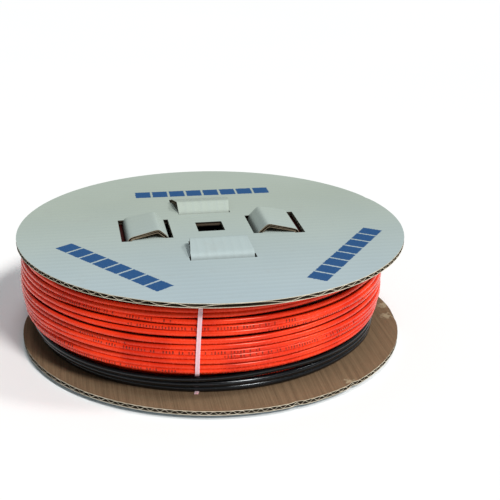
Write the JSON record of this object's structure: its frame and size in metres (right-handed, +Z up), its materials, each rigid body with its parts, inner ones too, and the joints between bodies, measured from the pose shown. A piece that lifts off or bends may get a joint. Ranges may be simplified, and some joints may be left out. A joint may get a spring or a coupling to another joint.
{
  "type": "heating cable reel",
  "caption": "Round two-flange board reel wound level with red heating cable, a black cold lead round its foot and a nylon strap over the turns.",
  "frame": {"origin": "centre of the reel, at the level of the underside it stands on", "axes": "+Z up along the reel's axis; +X and +Y along the folded tongues of the core, with the strap near -Y"},
  "size_m": [0.36, 0.36, 0.1127],
  "materials": {
    "core_board": "kraft board, white liner on its outer face",
    "bottom_board": "kraft face inwards, white liner outwards",
    "top_board": "matt white liner with plain blue bars",
    "red_sheath": "satin extruded sheath",
    "black_sheath": "satin extruded sheath",
    "nylon": "natural nylon"
  },
  "bodies": {
    "root": {"core": "core_board", "bottom_flange": "bottom_board", "top_flange": "top_board", "heating_cable": "red_sheath", "cold_lead": "black_sheath", "strap": "nylon"}
  },
  "joints": []
}
